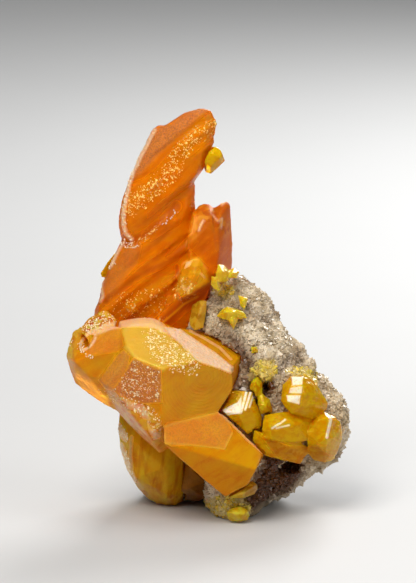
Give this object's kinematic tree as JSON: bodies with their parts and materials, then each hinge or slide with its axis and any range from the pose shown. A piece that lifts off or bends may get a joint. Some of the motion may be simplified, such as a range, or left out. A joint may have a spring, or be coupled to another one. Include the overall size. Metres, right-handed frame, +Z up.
{
  "type": "native sulfur specimen",
  "caption": "Upright cluster of orange and yellow sulfur crystals grown on a lump of pale rock with a sugary crust of small crystals, standing on a flat foot.",
  "frame": {"origin": "on the ground under the middle of the specimen's bounding box", "axes": "+Z up, +X to the right of the display side, -Y towards the viewer of the display side"},
  "size_m": [0.0472, 0.0335, 0.068],
  "materials": {
    "crusted_rock": "pale grey-beige rock under a sugary crust of colourless crystals",
    "orange_sulfur": "deep orange translucent crystal with growth ridges and frosted faces",
    "pale_orange_sulfur": "pale orange translucent crystal, frosted and sparkling",
    "amber_sulfur": "amber translucent crystal",
    "brown_sulfur": "dark brown translucent crystal",
    "yellow_sulfur": "glossy lemon-yellow translucent crystal",
    "pale_yellow_sulfur": "pale yellow translucent crystal"
  },
  "bodies": {
    "root": {"matrix": "crusted_rock", "tall_crystal": "orange_sulfur", "tip_crystal": "yellow_sulfur", "edge_crystal": "yellow_sulfur", "front_crystal": "pale_orange_sulfur", "base_crystal": "amber_sulfur", "brown_crystal": "brown_sulfur", "yellow_cluster": "yellow_sulfur", "saddle_crystal": "yellow_sulfur", "saddle_chips": "pale_yellow_sulfur", "star_crystal": "pale_yellow_sulfur", "prism_crystal": "pale_yellow_sulfur", "speck_crystal": "pale_yellow_sulfur", "nook_crystal": "pale_yellow_sulfur", "perch_crystals": "pale_yellow_sulfur", "toe_crystal": "pale_yellow_sulfur", "foot_crystal": "pale_yellow_sulfur"}
  },
  "joints": []
}
